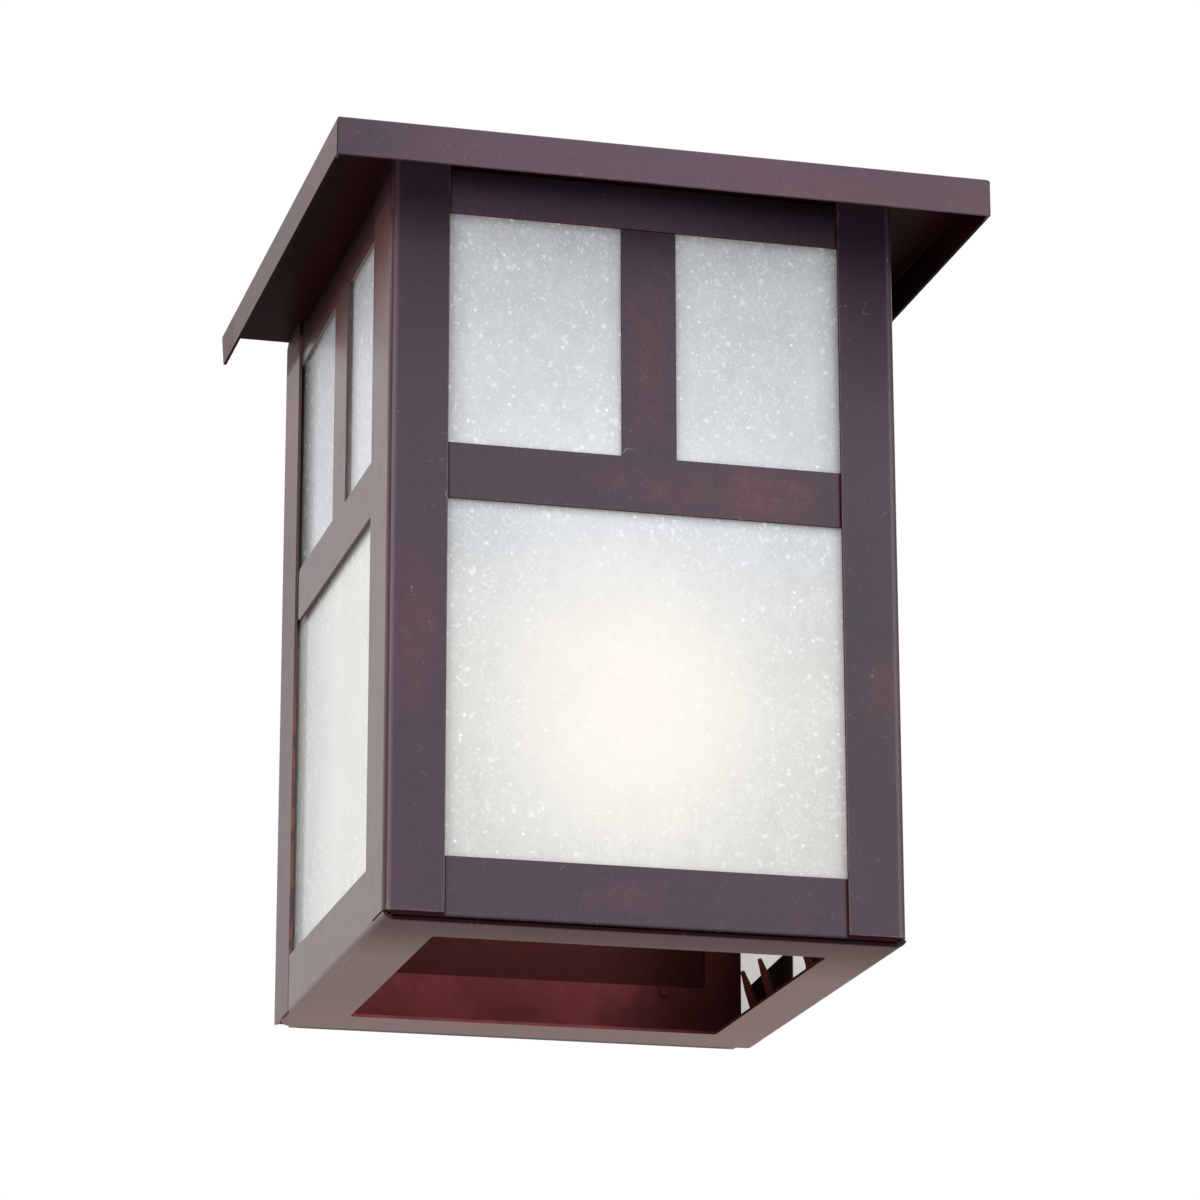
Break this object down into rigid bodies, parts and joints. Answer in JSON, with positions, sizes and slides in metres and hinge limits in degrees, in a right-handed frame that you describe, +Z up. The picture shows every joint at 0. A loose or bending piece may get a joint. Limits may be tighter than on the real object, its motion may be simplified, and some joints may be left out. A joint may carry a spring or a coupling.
{
  "type": "outdoor wall light",
  "caption": "Mission style outdoor wall lantern with a flat roof, bent sheet cage, seeded glass and an open bottom through which its screw-in lamp is changed.",
  "frame": {"origin": "on the wall face, at the centre of the junction box", "axes": "+Z up, -Y out of the wall towards the viewer, +X to the viewer's right"},
  "size_m": [0.21, 0.2195, 0.243],
  "materials": {
    "bronze_paint": "mottled dark bronze powder coat",
    "inside_paint": "dark red-brown base coat",
    "seeded_glass": "frosted seeded glass",
    "zinc_steel": "zinc plated",
    "brass": "plain",
    "porcelain": "glazed",
    "black_lead": "smooth insulation",
    "white_lead": "smooth insulation",
    "lamp_metal": "plain",
    "lamp_insulator": "black glass",
    "lamp_glass": "soft white coating inside",
    "ground_green": "green passivation"
  },
  "bodies": {
    "lantern": {"roof": "bronze_paint", "left_side_frame": "bronze_paint", "right_side_frame": "bronze_paint", "bottom_tray": "bronze_paint", "front_bottom_rail": "bronze_paint", "front_transom": "bronze_paint", "front_mullion": "bronze_paint", "front_top_rail": "bronze_paint", "left_top_rail": "bronze_paint", "right_top_rail": "bronze_paint", "back_pan": "bronze_paint", "back_plate": "inside_paint", "plate_screws": "inside_paint", "front_glass_clips": "inside_paint", "left_glass_clip": "inside_paint", "right_glass_clip": "inside_paint", "cap_nuts": "inside_paint", "front_glass": "seeded_glass", "left_glass": "seeded_glass", "right_glass": "seeded_glass", "lamp_bracket": "zinc_steel", "bracket_rivets": "zinc_steel", "mounting_bar": "zinc_steel", "mounting_screws": "zinc_steel", "holder_nipple": "brass", "nipple_nut": "brass", "screw_shell": "brass", "centre_contact": "brass", "lampholder": "porcelain", "live_lead": "black_lead", "neutral_lead": "white_lead", "ground_screw": "ground_green"},
    "lamp_tip": {"lamp_eyelet": "lamp_metal"},
    "lamp": {"lamp_insulator": "lamp_insulator", "lamp_cap": "lamp_metal", "lamp_bulb": "lamp_glass"}
  },
  "joints": [
    {"name": "lamp_travel", "type": "slide", "parent": "lantern", "child": "lamp_tip", "axis": [0, 0, -1], "range_m": [0, 0.0128]},
    {"name": "lamp_screw", "type": "hinge", "parent": "lamp_tip", "child": "lamp", "pos_m": [0, -0.097, 0.04], "axis": [0, 0, -1], "range_deg": [0, 1260]}
  ],
  "couplings": [
    {"joint": "lamp_travel", "follows": "lamp_screw", "m_per_rad": 0.00057757}
  ]
}
